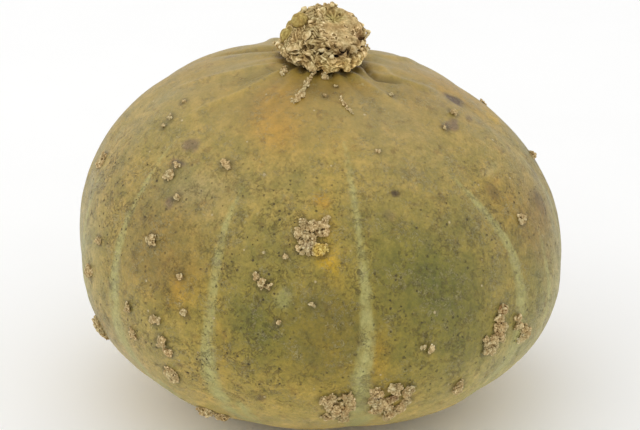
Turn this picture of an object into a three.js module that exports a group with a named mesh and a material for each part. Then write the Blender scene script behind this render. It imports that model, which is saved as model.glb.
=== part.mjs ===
// Kabocha squash: one fruit and the corky stem that it was cut with.
// Millimetres, +Z up. The fruit rests on its blossom end at z = 0, and its front looks along -Y.
import * as THREE from "three";
import { mergeVertices } from "three/addons/utils/BufferGeometryUtils.js";

// Fruit: two half superellipses that meet at the widest ring
const BODY_RADIUS = 86;
const CROWN_RISE = 71; // widest ring to the stem end
const BASE_DROP = 55.6; // widest ring to the blossom end, before it is flattened
const CROWN_FULLNESS = 2.03; // superellipse exponents: 2 is an ellipse, more is fuller
const BASE_FULLNESS = 2.13;
const LEAN = 0.079; // fall of the crown towards +X, fading to none at the base

// The worn patch that it stands on, the blossom scar in the middle of that, and the stem's seat
const FLAT_DEPTH = 1.6;
const SCAR_RADIUS = 8;
const SCAR_DEPTH = 2.2;
const SEAT_DEPTH = 0.7; // how far the seat lies under the crown's own height

// Relief of the skin
const FURROWS_DEG = [-82, -54, -25, 10, 50, 85, 118, 152, 186, 218, 249]; // from the front, towards +X
const FURROW_DEPTH = 1.1;
const FURROW_HALF_WIDTH_DEG = 7;
const FOLD_COUNT = 17; // creases that run out from the stem
const FOLD_DEPTH = 0.7;
const FOLD_REACH = 42; // distance from the axis at which the creases have faded
const LUMP_DEPTH = 0.8;

// Stem
const STEM_GAP = 0.3; // clearance between the two solids, which in life are grown together
const STEM_PROFILE = [
  // [radius, height] from the seat to the rim of the cut face
  [11, 0],
  [13.6, 0.7],
  [14.4, 2.6],
  [14.5, 5.2],
  [14.2, 7.8],
  [13.2, 9.9],
  [11.5, 11.8],
  [9.5, 13.2],
];
const STEM_FOOT = [0.9, -1]; // middle of its foot, along X and Y
const STEM_BEND = [4.9, -0.9]; // how far the middle of the cut face stands off the middle of the foot
const CUT_SLOPE = [-0.11, 0.45]; // rise of the cut face along X and Y
const CUT_HOLLOW = 1;
const LOBE_COUNT = 7;
const LOBE_DEPTH = 0.7;
const BARK_DEPTH = 0.4;

// Mesh steps
const FRUIT_SIDES = 96;
const FRUIT_ROWS = 36;
const STEM_SIDES = 40;
const STEM_ROWS = 14; // from the middle of the foot to the rim of the cut face
const CUT_ROWS = 4;

const { cos, sin, abs, exp, PI, max, min } = Math;
const radians = THREE.MathUtils.degToRad;
const equatorHeight = BASE_DROP - FLAT_DEPTH;
const seatHeight = equatorHeight + CROWN_RISE - SEAT_DEPTH;

// Signed angle from b to a, within half a turn
const angleBetween = (a, b) => Math.atan2(sin(a - b), cos(a - b));

// 1 at the axis, 0 from the given distance outwards, smooth between
const fadeOut = (distance, reach) => (distance < reach ? 0.5 + 0.5 * cos((PI * distance) / reach) : 0);

// Height of the skin's relief at an azimuth, a latitude and a distance from the axis
function relief(azimuth, latitude, distance) {
  const girth = cos(latitude);
  let height = 0;
  for (const furrow of FURROWS_DEG) {
    const away = angleBetween(azimuth, radians(furrow)) / radians(FURROW_HALF_WIDTH_DEG);
    height -= FURROW_DEPTH * exp(-away * away) * girth;
  }
  if (latitude > 0) {
    const strength = fadeOut(distance, FOLD_REACH) * min(1, distance / STEM_PROFILE[0][0]);
    height += FOLD_DEPTH * strength * sin(FOLD_COUNT * azimuth + 1.5 * sin(2 * azimuth));
  }
  height += LUMP_DEPTH * girth * sin(2 * azimuth + 1.1) * cos(3 * latitude + 0.4);
  height += 0.5 * LUMP_DEPTH * girth * sin(5 * azimuth + 2 * latitude);
  return height;
}

// A point of the skin
function skinPoint(azimuth, latitude) {
  const upper = latitude > 0;
  const power = 2 / (upper ? CROWN_FULLNESS : BASE_FULLNESS);
  const radius = BODY_RADIUS * max(cos(latitude), 0) ** power;
  const upward = (upper ? 1 : -1) * abs(sin(latitude)) ** power;
  const point = new THREE.Vector3(
    radius * sin(azimuth),
    -radius * cos(azimuth),
    (upper ? CROWN_RISE : BASE_DROP) * upward,
  );
  point.addScaledVector(point.clone().normalize(), relief(azimuth, latitude, radius));
  point.z = min(point.z + equatorHeight, seatHeight);
  point.z -= (LEAN * point.x * (1 + upward)) / 2;
  point.z = max(point.z, 0);
  if (!upper) point.z += SCAR_DEPTH * fadeOut(radius, SCAR_RADIUS);
  return point;
}

// A point of the stem, on rings from the middle of its foot to the middle of its cut face
const flank = new THREE.SplineCurve(STEM_PROFILE.map(([r, z]) => new THREE.Vector2(r, z)));
function stemPoint(row, azimuth) {
  const share = min(max((row - 1) / (STEM_ROWS - 1), 0), 1); // up the flank
  const acrossCut = max((row - STEM_ROWS) / CUT_ROWS, 0);
  const { x: girth, y: height } = flank.getPoint(share);
  const inward = row === 0 ? 0 : 1 - acrossCut;
  const lobes = LOBE_DEPTH * sin(LOBE_COUNT * azimuth + 2.5 * share + sin(2 * azimuth));
  const bark = BARK_DEPTH * sin(13 * azimuth - 9 * share) * cos(11 * share + 3 * azimuth);
  const radius = inward * (girth + min(4 * share, 1) * (lobes + bark));
  const risen = height / flank.points.at(-1).y;
  const across = [radius * sin(azimuth), -radius * cos(azimuth)];
  const x = STEM_FOOT[0] + STEM_BEND[0] * risen ** 3 + across[0];
  const y = STEM_FOOT[1] + STEM_BEND[1] * risen ** 3 + across[1];
  const slope = risen ** 2 * (CUT_SLOPE[0] * across[0] + CUT_SLOPE[1] * across[1]);
  return new THREE.Vector3(x, y, height + slope - CUT_HOLLOW * acrossCut ** 2 - LEAN * x);
}

// A closed surface from rings of points: row 0 and the last row are each a single point
function closedSurface(rows, sides, pointAt) {
  const positions = [];
  const indices = [];
  for (let row = 0; row <= rows; row++) {
    for (let side = 0; side < sides; side++) {
      positions.push(...pointAt(row, (2 * PI * side) / sides).toArray());
    }
  }
  for (let row = 0; row < rows; row++) {
    for (let side = 0; side < sides; side++) {
      const a = row * sides + side;
      const b = row * sides + ((side + 1) % sides);
      if (row > 0) indices.push(a, b, b + sides);
      if (row < rows - 1) indices.push(a, b + sides, a + sides);
    }
  }
  const geometry = new THREE.BufferGeometry();
  geometry.setAttribute("position", new THREE.Float32BufferAttribute(positions, 3));
  geometry.setIndex(indices);
  const merged = mergeVertices(geometry);
  merged.computeVertexNormals();
  return merged;
}

function named(name, geometry, color, roughness) {
  const material = new THREE.MeshStandardMaterial({ color, roughness, metalness: 0 });
  const mesh = new THREE.Mesh(geometry, material);
  mesh.name = name;
  return mesh;
}

function fruitMesh() {
  const pointAt = (row, azimuth) => skinPoint(azimuth, PI * (row / FRUIT_ROWS - 0.5));
  return named("fruit", closedSurface(FRUIT_ROWS, FRUIT_SIDES, pointAt), 0x98894a, 0.55);
}

function stemMesh() {
  const mesh = named("stem", closedSurface(STEM_ROWS + CUT_ROWS, STEM_SIDES, stemPoint), 0xa8935f, 0.9);
  mesh.position.z = seatHeight + STEM_GAP;
  return mesh;
}

// The origin is under the middle of the bounding box, on the ground
const squash = new THREE.Group();
squash.add(fruitMesh(), stemMesh());
const middle = new THREE.Box3().setFromObject(squash, true).getCenter(new THREE.Vector3());
for (const mesh of squash.children) {
  mesh.position.x -= middle.x;
  mesh.position.y -= middle.y;
}

export default squash;
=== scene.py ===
"""Kabocha squash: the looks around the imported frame. Sizes are in millimetres until a mesh is made."""

import math

import bmesh
import bpy
import numpy as np
from mathutils import Euler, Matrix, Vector


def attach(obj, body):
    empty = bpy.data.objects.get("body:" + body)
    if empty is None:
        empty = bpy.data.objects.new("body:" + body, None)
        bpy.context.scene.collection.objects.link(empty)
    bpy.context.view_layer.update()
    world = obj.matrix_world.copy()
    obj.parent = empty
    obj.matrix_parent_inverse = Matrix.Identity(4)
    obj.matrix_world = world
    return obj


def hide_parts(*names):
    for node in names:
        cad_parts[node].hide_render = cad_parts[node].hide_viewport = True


MM = 0.001

# ---------------------------------------------------------------- the fruit's shape, as in the CAD
BODY_RADIUS = 86
CROWN_RISE = 71
BASE_DROP = 55.6
CROWN_FULLNESS = 2.03
BASE_FULLNESS = 2.13
LEAN = 0.079
FLAT_DEPTH = 1.6
SCAR_RADIUS = 8
SCAR_DEPTH = 2.2
SEAT_DEPTH = 0.7
FURROWS_DEG = (-82, -54, -25, 10, 50, 85, 118, 152, 186, 218, 249)
FURROW_DEPTH = 1.1
FURROW_HALF_WIDTH_DEG = 7
FOLD_COUNT = 17
FOLD_DEPTH = 0.7
FOLD_REACH = 42
LUMP_DEPTH = 0.8
SEAT_RADIUS = 11

EQUATOR_HEIGHT = BASE_DROP - FLAT_DEPTH
SEAT_HEIGHT = EQUATOR_HEIGHT + CROWN_RISE - SEAT_DEPTH

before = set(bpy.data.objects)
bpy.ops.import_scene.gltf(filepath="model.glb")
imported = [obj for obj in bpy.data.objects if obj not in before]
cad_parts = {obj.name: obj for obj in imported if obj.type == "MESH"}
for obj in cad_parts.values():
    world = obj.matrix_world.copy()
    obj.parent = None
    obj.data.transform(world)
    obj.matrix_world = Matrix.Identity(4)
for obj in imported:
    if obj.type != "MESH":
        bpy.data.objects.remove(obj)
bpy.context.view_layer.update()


# ---------------------------------------------------------------- noise
def scramble(ix, iy, iz, seed):
    """A repeatable number from 0 to 1 for each whole-number place."""
    mixed = ix.astype(np.int64) * 374761393 + iy.astype(np.int64) * 668265263
    mixed = (mixed + iz.astype(np.int64) * 2147483647 + seed * 1274126177) & 0xFFFFFFFF
    mixed = ((mixed ^ (mixed >> 13)) * 1274126177) & 0xFFFFFFFF
    mixed = ((mixed ^ (mixed >> 16)) * 2246822519) & 0xFFFFFFFF
    return ((mixed ^ (mixed >> 15)) & 0xFFFFFF) / float(0xFFFFFF)


def noise(points, scale, seed):
    """Smooth noise from -1 to 1 at the points, with features of about scale millimetres."""
    scaled = points / scale
    base = np.floor(scaled)
    part = scaled - base
    part = part * part * part * (part * (6 * part - 15) + 10)
    cell = base.astype(np.int64)
    total = 0
    for dx in (0, 1):
        for dy in (0, 1):
            for dz in (0, 1):
                weight = np.where(dx, part[:, 0], 1 - part[:, 0])
                weight = weight * np.where(dy, part[:, 1], 1 - part[:, 1])
                weight = weight * np.where(dz, part[:, 2], 1 - part[:, 2])
                total = total + weight * scramble(cell[:, 0] + dx, cell[:, 1] + dy, cell[:, 2] + dz, seed)
    return 2 * total - 1


def layered(points, scale, seed, layers=4, gain=0.5):
    """Several layers of noise, each half the size of the one before."""
    total, strength, most = 0, 1.0, 0.0
    for layer in range(layers):
        total = total + strength * noise(points, scale / 2**layer, seed + 17 * layer)
        most += strength
        strength *= gain
    return total / most


def creased(points, scale, seed, layers=3):
    """Noise with sharp valleys: 0 in the valleys, up to 1 between them."""
    total, strength, most = 0, 1.0, 0.0
    for layer in range(layers):
        total = total + strength * np.abs(noise(points, scale / 2**layer, seed + 29 * layer))
        most += strength
        strength *= 0.5
    return total / most


def smoothstep(low, high, value):
    part = np.clip((value - low) / (high - low), 0, 1)
    return part * part * (3 - 2 * part)


def angle_between(a, b):
    return np.arctan2(np.sin(a - b), np.cos(a - b))


def fade_out(distance, reach):
    return np.where(distance < reach, 0.5 + 0.5 * np.cos(np.pi * np.minimum(distance / reach, 1)), 0)


# ---------------------------------------------------------------- the fruit's surface
def superellipse(lat):
    """Radius, height and share of the full height at each latitude."""
    upper = lat > 0
    power = 2 / np.where(upper, CROWN_FULLNESS, BASE_FULLNESS)
    radius = BODY_RADIUS * np.maximum(np.cos(lat), 0) ** power
    upward = np.where(upper, 1, -1) * np.abs(np.sin(lat)) ** power
    return radius, np.where(upper, CROWN_RISE, BASE_DROP) * upward, upward


def cad_relief(az, lat, radius):
    girth = np.cos(lat)
    height = np.zeros_like(az)
    for furrow in FURROWS_DEG:
        away = angle_between(az, math.radians(furrow)) / math.radians(FURROW_HALF_WIDTH_DEG)
        height -= FURROW_DEPTH * np.exp(-away * away) * girth
    strength = fade_out(radius, FOLD_REACH) * np.minimum(1, radius / SEAT_RADIUS)
    folds = FOLD_DEPTH * strength * np.sin(FOLD_COUNT * az + 1.5 * np.sin(2 * az))
    height += np.where(lat > 0, folds, 0)
    height += LUMP_DEPTH * girth * np.sin(2 * az + 1.1) * np.cos(3 * lat + 0.4)
    height += 0.5 * LUMP_DEPTH * girth * np.sin(5 * az + 2 * lat)
    return height


def surface(az, lat, relief):
    """Points of the fruit at each azimuth and latitude, in the CAD's own place before it is centred."""
    radius, rise, upward = superellipse(lat)
    points = np.stack([radius * np.sin(az), -radius * np.cos(az), rise], 1)
    out = points / np.linalg.norm(points, axis=1, keepdims=True)
    points = points + out * (cad_relief(az, lat, radius) + relief)[:, None]
    points[:, 2] = np.minimum(points[:, 2] + EQUATOR_HEIGHT, SEAT_HEIGHT)
    points[:, 2] -= LEAN * points[:, 0] * (1 + upward) / 2
    points[:, 2] = np.maximum(points[:, 2], 0)
    points[:, 2] += np.where(lat < 0, SCAR_DEPTH * fade_out(radius, SCAR_RADIUS), 0)
    return points


def coarse_centre():
    """Middle of the plain surface's box, which the CAD puts over the origin."""
    az, lat = np.meshgrid(np.radians(np.arange(0, 360, 3.75)), np.radians(np.arange(-90, 91, 5.0)))
    points = surface(az.ravel(), lat.ravel(), 0)
    return (points.min(0) + points.max(0)) / 2


CENTRE = np.array([*coarse_centre()[:2], 0])


def path_points(path):
    """Plain surface points along a path of (azimuth, latitude) degrees, six to each of its steps."""
    path = np.radians(np.array(path, float))
    steps = np.linspace(0, len(path) - 1, 6 * (len(path) - 1) + 1)
    az = np.interp(steps, range(len(path)), path[:, 0])
    lat = np.interp(steps, range(len(path)), path[:, 1])
    return surface(az, lat, 0)


def distance_to(points, path, reach=12):
    """Distance from the points to a path, and how far along it the nearest place is, from 0 to 1.
    Points out of reach get a distance of 99."""
    spots = path_points(path)
    nearest = np.full(len(points), 99.0)
    along = np.zeros(len(points))
    near = np.nonzero(((points > spots.min(0) - reach) & (points < spots.max(0) + reach)).all(1))[0]
    close = points[near]
    for i, (start, end) in enumerate(zip(spots[:-1], spots[1:])):
        way = end - start
        part = np.clip((close - start) @ way / (way @ way), 0, 1)
        distance = np.linalg.norm(close - start - part[:, None] * way, axis=1)
        closer = distance < nearest[near]
        along[near] = np.where(closer, (i + part) / (len(spots) - 1), along[near])
        nearest[near] = np.where(closer, distance, nearest[near])
    return nearest, along


# Raised (+) and sunken (-) lines on the crown: path, height and half width
CROWN_LINES = (
    (((-62, 79), (-66, 74.5), (-68, 70), (-74, 62), (-84, 53)), 1.1, 1.5),
    (((-52, 78), (-55, 73), (-57, 69), (-62, 62)), -0.6, 1.5),
    (((-44, 77), (-45, 71.5), (-46, 66), (-54, 58), (-58, 50)), 0.9, 1.4),
    (((-36, 76), (-36, 70), (-38, 63)), -0.35, 1.3),
    (((78, 80), (64, 77.5), (60, 75), (65, 72.5), (74, 69.5)), -2.0, 1.4),
    (((84, 76), (72, 73), (76, 67), (86, 62)), 1.1, 2.0),
    (((-24, 78), (-26, 70), (-29, 62)), 0.6, 1.4),
    (((28, 77), (31, 68), (33, 60)), -0.3, 1.4),
    (((40, 78), (44, 70), (48, 62)), 0.5, 1.8),
    (((120, 79), (124, 70), (131, 58)), 0.9, 1.7),
    (((158, 78), (160, 70), (166, 60)), -0.8, 1.5),
    (((205, 79), (208, 68), (204, 58)), 0.9, 1.7),
    (((240, 78), (246, 70), (248, 62)), -0.8, 1.5),
)


# Soft dents and smaller ripples of the rind
DENT_HEIGHT = 0.45
DENT_SIZE = 26
RIPPLE_HEIGHT = 0.14
RIPPLE_SIZE = 6


def on_crown_line(points, path, width):
    """1 on a line, fading to 0 beside it and over the last quarter of its length."""
    distance, along = distance_to(points, path)
    return np.exp(-((distance / width) ** 2)) * np.minimum(1, 4 * (1 - along))


def detail_relief(az, lat):
    points = surface(az, lat, 0)
    height = DENT_HEIGHT * layered(points, DENT_SIZE, 3, 3)
    height += RIPPLE_HEIGHT * layered(points, RIPPLE_SIZE, 5, 3)
    for path, rise, width in CROWN_LINES:
        height += rise * on_crown_line(points, path, width)
    return height


def skin_at(az_deg, lat_deg):
    """Points of the finished skin, centred over the origin as the CAD is."""
    az = np.radians(np.atleast_1d(np.asarray(az_deg, float)))
    lat = np.radians(np.atleast_1d(np.asarray(lat_deg, float)))
    return surface(az, lat, detail_relief(az, lat)) - CENTRE


def spot_on_skin(az, lat):
    """A point of the skin and its directions towards the side, the stem and outwards."""
    step = 0.5
    spots = skin_at([az, az - step, az + step, az, az], [lat, lat, lat, lat - step, lat + step])
    side, up = spots[2] - spots[1], spots[4] - spots[3]
    out = np.cross(side, up)
    return spots[0], np.array([axis / np.linalg.norm(axis) for axis in (side, up, out)])


# ---------------------------------------------------------------- meshes
def make_object(name, points, faces, smooth=True):
    mesh = bpy.data.meshes.new(name)
    mesh.from_pydata((points * MM).tolist(), [], faces)
    mesh.validate()
    mesh.polygons.foreach_set("use_smooth", [smooth] * len(mesh.polygons))
    mesh.update()
    thing = bpy.data.objects.new(name, mesh)
    bpy.context.scene.collection.objects.link(thing)
    return thing


def mesh_points(mesh):
    numbers = np.empty(len(mesh.vertices) * 3, np.float32)
    mesh.vertices.foreach_get("co", numbers)
    return numbers.reshape(-1, 3).astype(float) / MM


def move_points(mesh, points):
    mesh.vertices.foreach_set("co", (points * MM).astype(np.float32).ravel())
    mesh.update()


def mesh_normals(mesh):
    numbers = np.empty(len(mesh.vertices) * 3, np.float32)
    mesh.vertex_normals.foreach_get("vector", numbers)
    return numbers.reshape(-1, 3).astype(float)


def smoothed(mesh, values, rounds):
    """Values at the mesh's points, averaged with their neighbours a number of times."""
    edges = np.empty(len(mesh.edges) * 2, np.int32)
    mesh.edges.foreach_get("vertices", edges)
    first, second = edges.reshape(-1, 2).T
    here, there = np.r_[first, second], np.r_[second, first]
    count = np.bincount(here, minlength=len(values))[:, None]
    for _ in range(rounds):
        totals = [np.bincount(here, column[there], len(values)) for column in values.T]
        values = 0.5 * values + 0.5 * np.stack(totals, 1) / np.maximum(count, 1)
    return values


def hollowness(mesh, rounds):
    """How far each point stands out of (+) or lies in (-) the mesh around it, in millimetres."""
    points = mesh_points(mesh)
    return ((points - smoothed(mesh, points, rounds)) * mesh_normals(mesh)).sum(1)


def give_number(mesh, name, values):
    mesh.attributes.new(name, "FLOAT", "POINT").data.foreach_set("value", values.astype(np.float32))


def give_colour(mesh, name, colours):
    rgba = np.c_[colours, np.ones(len(colours))].astype(np.float32)
    mesh.attributes.new(name, "FLOAT_COLOR", "POINT").data.foreach_set("color", rgba.ravel())


def linear(r, g, b):
    """A screen colour of 0 to 255 as the light that the shader takes."""
    screen = np.array([r, g, b]) / 255
    return np.where(screen <= 0.04045, screen / 12.92, ((screen + 0.055) / 1.055) ** 2.4)


# ---------------------------------------------------------------- the skin
SKIN_COLUMNS = 440
SKIN_ROWS = 224

# Light that the rind's sheen adds to its own colour
SHEEN = 0.022


def rind(r, g, b):
    return np.maximum(linear(r, g, b) - SHEEN, 0.006)


KHAKI = rind(172, 149, 84)
TAN = rind(170, 143, 86)
STRAW = rind(176, 156, 104)
ORANGE = rind(190, 144, 56)
OCHRE = rind(184, 142, 30)
YELLOW = rind(204, 164, 28)
MOSS = rind(122, 118, 54)
DARK_MOSS = rind(106, 108, 50)
LEAF = rind(130, 108, 16)
BROWN = rind(142, 112, 60)
GREY = rind(164, 150, 110)
PALE_GREEN = rind(182, 176, 114)
PALE = rind(182, 172, 124)
BLUSH = rind(180, 160, 114)
OLIVE = rind(122, 108, 34)
# Colour of the painted shadow on the skin under the stem's lip
LIP_SHADOW_TINT = rind(92, 74, 50)
BARK = rind(84, 62, 40)
PLUM = rind(122, 98, 84)

# The ripe middle of the front: azimuth, latitude, half width and half height in degrees
RIPE = (0, 4, 48, 28)
# Latitudes where the painted bounce light on the underside and the browner crown begin and where they are
# full
UNDERSIDE_DEG = (-12, -38)
# Painted bounce light: how much paler the underside is made
UNDERSIDE_PAINTED_BOUNCE = 0.4
CROWN_DEG = (46, 62)
# Share of red, green and blue that the ripe middle and the crown soak up
RIPE_LOSS = np.array([0.06, 0.05, 0.52])
CROWN_LOSS = np.array([0.05, 0.09, 0.13])
# Painted highlight that makes the crests on the crown paler, and painted shade that makes its creases
# darker for each millimetre
CREST_PAINTED_HIGHLIGHT = 0.16
CREASE_PAINTED_SHADE = 0.24
# Strength of the painted shade in the dark rim round a wart, where the wart meets the rind
WART_RIM_PAINTED_SHADE = 0.42
# How far the edges of the colour patches sway, and over what distance
PATCH_SWAY_DEG = 5
PATCH_SWAY_SIZE = 18

# Patches of colour: azimuth, latitude, half width and half height in degrees, colour, strength
PATCHES = (
    (0, 75.5, 38, 6.5, LEAF, 0.95),
    (-20, 66, 16, 8, ORANGE, 0.5),
    (-30, 66, 9, 7, BROWN, 0.3),
    (-17, 55, 10, 7, ORANGE, 0.6),
    (5, 58, 14, 12, YELLOW, 0.15),
    (35, 62, 26, 12, STRAW, 0.5),
    (38, 75, 12, 3, OCHRE, 0.5),
    (62, 66, 14, 8, BROWN, 0.25),
    (-72, 62, 16, 22, STRAW, 0.6),
    (-40, 27, 14, 9, BROWN, 0.45),
    (-36, 36, 10, 6, GREY, 0.6),
    (-33, 9, 5, 6, OCHRE, 0.75),
    (-44, 14, 8, 8, BROWN, 0.35),
    (-14, 6.5, 8, 11, DARK_MOSS, 0.75),
    (-12, 28, 8, 12, MOSS, 0.25),
    (28, 16, 16, 18, DARK_MOSS, 0.85),
    (20, 27, 10, 10, MOSS, 0.5),
    (30, -4, 16, 12, MOSS, 0.4),
    (3, 30, 4, 12, YELLOW, 0.4),
    (2.5, 23, 1.8, 2.6, YELLOW, 0.9),
    (3, 6, 4, 12, OCHRE, 0.3),
    (13.5, -3, 2.4, 9, OCHRE, 0.6),
    (-22, -4, 3, 9, OCHRE, 0.3),
    (56, 31, 7, 8, OCHRE, 0.45),
    (70, 24, 10, 10, BROWN, 0.5),
    (58, 5, 10, 13, MOSS, 0.6),
    (67, 18, 11, 11, BROWN, 0.55),
    (-35, 16, 10, 7, BROWN, 0.5),
    (7, 6, 10, 8, OLIVE, 0.6),
    (-43, -9, 12, 11, STRAW, 0.45),
    (-68, 22, 10, 16, TAN, 0.5),
    # pale at the left edge of the front: partly the rind's own paler colour, partly a painted reflection of
    # the bright surroundings
    (-76, -2, 12, 20, PALE, 0.8),
    (-62, -14, 8, 10, TAN, 0.5),
    (0, -38, 44, 12, STRAW, 0.6),
    (58, -22, 24, 18, PALE, 0.85),
    (-62, -24, 20, 18, BLUSH, 0.75),
    # pale at the right edge of the front: partly the rind's own paler colour, partly a painted reflection
    # of the bright surroundings
    (76, -2, 12, 18, PALE, 0.85),
    (0, -6, 9, 10, OLIVE, 0.5),
    (-3, 8, 7, 9, OLIVE, 0.5),
    (104, 12, 18, 22, MOSS, 0.7),
    (100, 55, 20, 12, ORANGE, 0.5),
    (136, 5, 14, 20, OCHRE, 0.45),
    (140, 60, 20, 12, STRAW, 0.5),
    (170, 15, 16, 24, DARK_MOSS, 0.75),
    (190, 55, 18, 12, ORANGE, 0.45),
    (205, 0, 10, 14, OCHRE, 0.55),
    (228, 20, 14, 20, BROWN, 0.4),
    (240, -12, 16, 12, MOSS, 0.4),
    (258, 50, 16, 14, TAN, 0.5),
)

# Scars, bruises and spots: azimuth, latitude, half width and half height in millimetres, colour, strength
SCARS = (
    (85, 57.5, 3.6, 4.2, BARK, 0.9),
    (60.8, 54.5, 4.8, 1.7, PLUM, 0.75),
    (74.5, 52.8, 3.0, 1.3, BARK, 0.55),
    (55.2, 34.8, 3.2, 3.4, BARK, 0.45),
    (83.8, 31, 2.4, 6.0, PLUM, 0.6),
    (73, 24.8, 4.5, 6.0, BARK, 0.45),
    (-45.2, 46.2, 3.8, 2.5, PLUM, 0.65),
    (-45.5, 40.8, 4.4, 1.6, PLUM, 0.75),
    (-41.8, 30.2, 1.7, 2.4, PLUM, 0.7),
    (22.2, 40.8, 1.7, 1.4, BARK, 0.85),
    (18.8, 35.2, 2.6, 1.8, PLUM, 0.35),
    (-14, -21, 1.6, 3.0, BARK, 0.7),
    (-33, -13, 2.2, 1.4, BARK, 0.5),
    (-7.8, 13.2, 3.0, 3.6, PALE_GREEN, 0.55),
    (1.2, 23, 3.2, 2.0, YELLOW, 0.9),
    (0.5, 39.2, 3.0, 3.4, ORANGE, 0.6),
    (94, 46.5, 5.0, 5.0, YELLOW, 0.5),
    (60, 40, 7.0, 2.2, PALE, 0.3),
    (150, 44, 4.0, 2.2, BARK, 0.7),
    (176, 30, 3.0, 4.0, PLUM, 0.6),
    (222, 50, 5.0, 2.0, BARK, 0.6),
    (244, 6, 2.6, 3.6, PLUM, 0.6),
    (128, -14, 2.4, 2.4, BARK, 0.7),
)

# Pale stripes: path from stem to blossom, half width at its two ends
STRIPES = (
    (((-74, 30), (-73, 15), (-73, 0), (-70, -14)), 0.8, 2.6),
    (((-53, 46), (-53, 30), (-54, 14), (-54, 0), (-53.5, -16), (-50, -36), (-44, -60)), 0.9, 4.6),
    (((-22.5, 40), (-24.5, 28), (-24.7, 12), (-25.3, 0), (-26, -14), (-25, -30), (-20, -60)), 1.1, 3.2),
    (
        (
            (9.4, 56), (9.6, 44), (9.8, 30), (10.2, 15), (10.3, 2), (9, -8), (9.5, -22),
            (10.5, -40), (12, -62),
        ),
        0.9,
        3.4,
    ),
    (((43, 44), (48.5, 31), (52, 20), (52.5, 10), (53, -2), (50, -22), (44, -50)), 1.4, 3.4),
    (((66, 22), (65, 12), (66, 0), (62, -20)), 0.8, 1.8),
    (((83, 40), (85, 20), (86, 0), (82, -30)), 1.0, 3.0),
    (((117, 44), (119, 24), (118, 0), (114, -30)), 1.0, 3.4),
    (((150, 46), (152, 26), (153, 0), (150, -34)), 1.0, 2.8),
    (((184, 42), (187, 22), (186, 0), (184, -34)), 1.1, 3.4),
    (((217, 45), (219, 24), (218, 0), (216, -30)), 0.9, 3.0),
    (((250, 42), (248, 22), (249, 0), (252, -30)), 1.0, 3.2),
)
# The long ones run on underneath, towards the blossom scar
STRIPES_BELOW = tuple(
    (tuple((path[-1][0], lat) for lat in (-24, -40, -58, -76)), end, 1.2)
    for path, start, end in STRIPES
    if path[-1][1] <= -30
)


def blend_colour(under, over, weight):
    return under * (1 - weight[:, None]) + over * weight[:, None]


def patch_weight(az, lat, patch_az, patch_lat, half_width, half_height):
    """1 in the middle of a patch given in degrees, fading to 0 a few half widths away."""
    x = angle_between(az, math.radians(patch_az)) / math.radians(half_width)
    y = (lat - math.radians(patch_lat)) / math.radians(half_height)
    return np.exp(-(x * x) - y * y)


def add_patches(colour, az, lat, points):
    sway_az = np.radians(PATCH_SWAY_DEG) * layered(points, PATCH_SWAY_SIZE, 41, 3)
    sway_lat = np.radians(PATCH_SWAY_DEG) * layered(points, PATCH_SWAY_SIZE, 43, 3)
    for *patch, patch_colour, strength in PATCHES:
        weight = patch_weight(az + sway_az, lat + sway_lat, *patch)
        colour = blend_colour(colour, patch_colour, strength * weight)
    return colour


def add_broad_tints_and_painted_bounce(colour, az, lat):
    """Painted bounce light that makes the underside paler, the browner crown and the ripe middle of the
    front.
    """
    underside = smoothstep(*np.radians(UNDERSIDE_DEG), lat)
    crown = smoothstep(*np.radians(CROWN_DEG), lat)
    # painted bounce light from below: the underside made paler
    colour = colour * (1 + UNDERSIDE_PAINTED_BOUNCE * underside)[:, None]
    colour = colour * (1 - crown[:, None] * CROWN_LOSS)
    return colour * (1 - patch_weight(az, lat, *RIPE)[:, None] * RIPE_LOSS)


def add_scars(colour, az, lat, points):
    jitter_x, jitter_y = noise(points, 3.5, 51), noise(points, 3.5, 53)
    for scar_az, scar_lat, half_width, half_height, scar_colour, strength in SCARS:
        x = angle_between(az, math.radians(scar_az)) * BODY_RADIUS * math.cos(math.radians(scar_lat))
        y = (lat - math.radians(scar_lat)) * BODY_RADIUS * 0.9
        away = np.hypot((x + jitter_x) / half_width, (y + jitter_y) / half_height)
        colour = blend_colour(colour, scar_colour, strength * smoothstep(1.25, 0.55, away))
    return colour


def add_crown_line_highlights_and_shade(colour, points):
    """Painted highlights on the crests and painted shade in the creases of the crown."""
    for path, rise, width in CROWN_LINES:
        change = CREST_PAINTED_HIGHLIGHT if rise > 0 else CREASE_PAINTED_SHADE * rise
        colour = colour * (1 + change * on_crown_line(points, path, width))[:, None]
    return colour


# Painted shade: the rind darkened in a rim round each wart.
def add_painted_wart_rim_shade(colour, points):
    rim = np.zeros(len(points))
    for wart_az, wart_lat, width, height, *_ in LARGE_WARTS + SMALL_WARTS:
        middle = surface(np.radians([wart_az]), np.radians([wart_lat]), 0)[0]
        near = np.nonzero(np.abs(points - middle).max(1) < 8)[0]
        from_edge = np.linalg.norm(points[near] - middle, axis=1) - (width + height) / 4
        rim[near] = np.maximum(rim[near], smoothstep(1.9, 0.2, from_edge))
    return colour * (1 - WART_RIM_PAINTED_SHADE * rim)[:, None]


def add_blossom_end(colour, lat, points):
    """The pale worn patch underneath, with the blossom scar in its middle."""
    from_axis = np.hypot(points[:, 0], points[:, 1]) + 1.2 * noise(points, 4, 49)
    for tint, strength, outer, inner in (
        (PALE, 0.45, 34, 14),
        (BARK, 0.8, SCAR_RADIUS + 1, SCAR_RADIUS - 1),
        (GREY, 0.6, 0.6 * SCAR_RADIUS, 0.3 * SCAR_RADIUS),
    ):
        colour = blend_colour(colour, tint, strength * smoothstep(outer, inner, from_axis) * (lat < 0))
    return colour


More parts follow.
